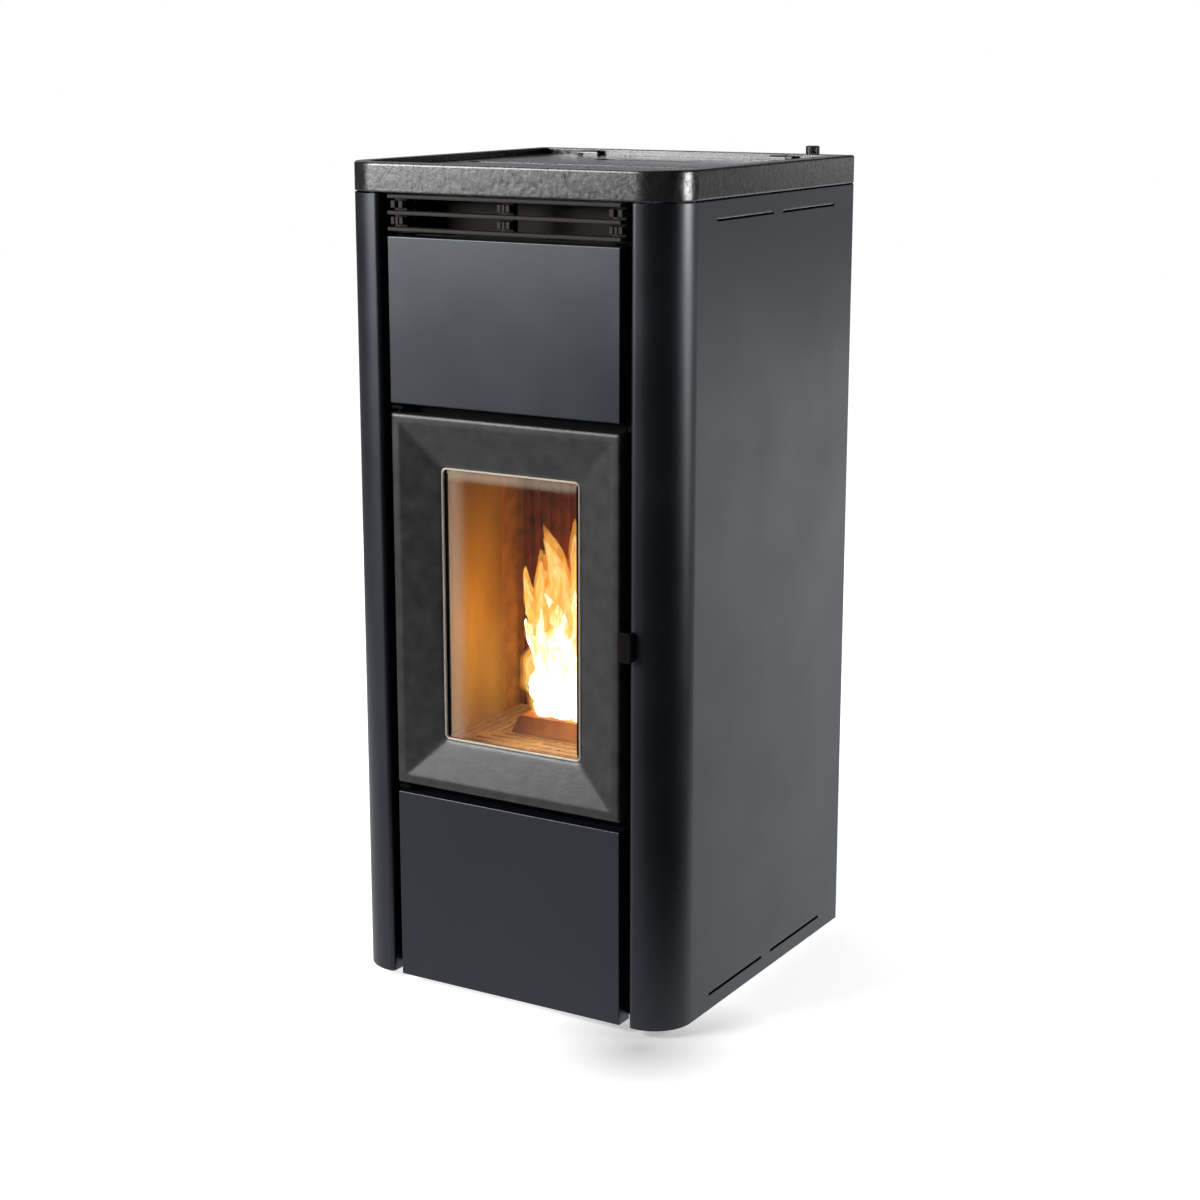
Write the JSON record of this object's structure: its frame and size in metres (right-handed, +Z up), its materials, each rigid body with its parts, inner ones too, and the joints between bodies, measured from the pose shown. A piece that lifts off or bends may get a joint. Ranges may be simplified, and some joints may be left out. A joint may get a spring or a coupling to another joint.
{
  "type": "pellet stove",
  "caption": "Tall square pellet stove with rounded front corners, sheet casing, cast top and glazed fire door, hopper lid, auger feed, fans, firebox and flue spigot.",
  "frame": {"origin": "on the floor, under the middle of the stove's overall box, which reaches from the latch knob to the flue spigot", "axes": "+Z up; the glazed front faces -Y; +X is the stove's right-hand side for someone who looks at its back, and the right of a front view"},
  "size_m": [0.5, 0.524, 1.1258],
  "materials": {
    "galvanised_steel": "dull galvanised",
    "casing_paint": "satin anthracite powder coat",
    "black_paint": "matt black",
    "bright_steel": "bright",
    "grille_paint": "satin warm grey",
    "cover_cast_iron": "painted, fine grain",
    "lid_paint": "satin light grey",
    "black_rubber": "matt",
    "door_cast_iron": "painted, fine grain",
    "ceramic_glass": "clear",
    "glass_fibre": "woven",
    "knob_paint": "satin black",
    "firebox_steel": "heat-resistant matt",
    "refractory": "matt",
    "lining_cast_iron": "heat-stained",
    "grate_cast_iron": "heat-stained",
    "ceramic_igniter": "matt",
    "motor_grey": "satin",
    "fan_aluminium": "cast",
    "board_plastic": "matt",
    "red_plastic": "matt",
    "black_plastic": "satin"
  },
  "bodies": {
    "stove": {"base_tray": "galvanised_steel", "side_panel_right": "casing_paint", "side_panel_left": "casing_paint", "rear_panel": "black_paint", "rear_panel_screws": "bright_steel", "lower_front_panel": "casing_paint", "upper_front_panel": "casing_paint", "grille_bars": "grille_paint", "grille_comb": "black_paint", "warm_air_duct": "black_paint", "front_uprights": "black_paint", "rear_posts": "galvanised_steel", "top_cover_front": "cover_cast_iron", "top_cover_rear": "cover_cast_iron", "lid_hinges": "bright_steel", "door_hinges": "black_paint", "latch_strike": "bright_steel", "firebox": "firebox_steel", "firebox_front_plate": "black_paint", "side_linings": "refractory", "rear_lining": "lining_cast_iron", "baffle_plate": "refractory", "exchanger_tubes": "firebox_steel", "igniter": "ceramic_igniter", "hopper": "galvanised_steel", "hopper_guard": "bright_steel", "auger_tube": "galvanised_steel", "auger_gearmotor": "motor_grey", "air_riser": "galvanised_steel", "blower_housing": "galvanised_steel", "blower_motor": "motor_grey", "smoke_fan_housing": "fan_aluminium", "smoke_fan_motor": "motor_grey", "smoke_duct": "firebox_steel", "air_intake_pipe": "galvanised_steel", "control_board": "board_plastic", "safety_thermostat": "board_plastic", "mains_inlet": "black_plastic"},
    "door": {"door_frame": "door_cast_iron", "door_glass": "ceramic_glass", "glass_gasket": "glass_fibre", "glass_clips": "bright_steel", "door_rope_seal": "glass_fibre"},
    "latch": {"latch_handle": "knob_paint", "latch_cam": "bright_steel"},
    "lid": {"hopper_lid": "lid_paint", "hopper_lid_seal": "black_rubber"},
    "ash_drawer": {"ash_pan": "galvanised_steel"},
    "grate": {"floor_grate": "grate_cast_iron"},
    "pot": {"burn_pot": "grate_cast_iron"},
    "auger": {"auger_screw": "bright_steel"},
    "smoke_fan": {"smoke_fan_impeller": "bright_steel"},
    "blower": {"blower_rotor": "fan_aluminium"},
    "rocker": {"rocker_switch": "black_plastic"},
    "reset_pin": {"reset_button": "red_plastic"},
    "screw_cap": {"reset_cap": "black_plastic"},
    "foot_fl": {"foot_front_left": "bright_steel"},
    "foot_fr": {"foot_front_right": "bright_steel"},
    "foot_rl": {"foot_rear_left": "bright_steel"},
    "foot_rr": {"foot_rear_right": "bright_steel"}
  },
  "joints": [
    {"name": "door_hinge", "type": "hinge", "parent": "stove", "child": "door", "pos_m": [-0.165, -0.238, 0.54], "axis": [0, 0, -1], "range_deg": [0, 100]},
    {"name": "latch_turn", "type": "hinge", "parent": "door", "child": "latch", "pos_m": [0.18, -0.24, 0.5258], "axis": [0, -1, 0], "range_deg": [0, 90]},
    {"name": "lid_hinge", "type": "hinge", "parent": "stove", "child": "lid", "pos_m": [0, 0.221, 1.1095], "axis": [-1, 0, 0], "range_deg": [0, 80]},
    {"name": "ash_pan_lift", "type": "slide", "parent": "stove", "child": "ash_drawer", "axis": [0, 0, 1], "range_m": [0, 0.05]},
    {"name": "grate_lift", "type": "slide", "parent": "ash_drawer", "child": "grate", "axis": [0, 0, 1], "range_m": [0, 0.05]},
    {"name": "burn_pot_lift", "type": "slide", "parent": "grate", "child": "pot", "axis": [0, 0, 1], "range_m": [0, 0.06]},
    {"name": "auger_spin", "type": "hinge", "parent": "stove", "child": "auger", "pos_m": [0, 0.115, 0.55], "axis": [0, -0.7071, 0.7071], "continuous": true},
    {"name": "smoke_fan_spin", "type": "hinge", "parent": "stove", "child": "smoke_fan", "pos_m": [0.105, 0.14, 0.225], "axis": [1, 0, 0], "continuous": true},
    {"name": "blower_spin", "type": "hinge", "parent": "stove", "child": "blower", "pos_m": [0, 0.062, 0.082], "axis": [1, 0, 0], "continuous": true},
    {"name": "rocker_tilt", "type": "hinge", "parent": "stove", "child": "rocker", "pos_m": [-0.205, 0.245, 0.112], "axis": [1, 0, 0], "range_deg": [0, 16]},
    {"name": "reset_press", "type": "slide", "parent": "stove", "child": "reset_pin", "axis": [0, 0, -1], "range_m": [0, 0.002], "stiffness_N_per_m": 800, "springref_m": -0.0005},
    {"name": "cap_unscrew", "type": "hinge", "parent": "stove", "child": "screw_cap", "pos_m": [0.192, 0.24, 1.12], "axis": [0, 0, 1], "continuous": true},
    {"name": "foot_fl_screw", "type": "hinge", "parent": "stove", "child": "foot_fl", "pos_m": [-0.205, -0.16, 0.02], "axis": [0, 0, 1], "continuous": true},
    {"name": "foot_fr_screw", "type": "hinge", "parent": "stove", "child": "foot_fr", "pos_m": [0.205, -0.16, 0.02], "axis": [0, 0, 1], "continuous": true},
    {"name": "foot_rl_screw", "type": "hinge", "parent": "stove", "child": "foot_rl", "pos_m": [-0.205, 0.205, 0.02], "axis": [0, 0, 1], "continuous": true},
    {"name": "foot_rr_screw", "type": "hinge", "parent": "stove", "child": "foot_rr", "pos_m": [0.205, 0.205, 0.02], "axis": [0, 0, 1], "continuous": true}
  ]
}
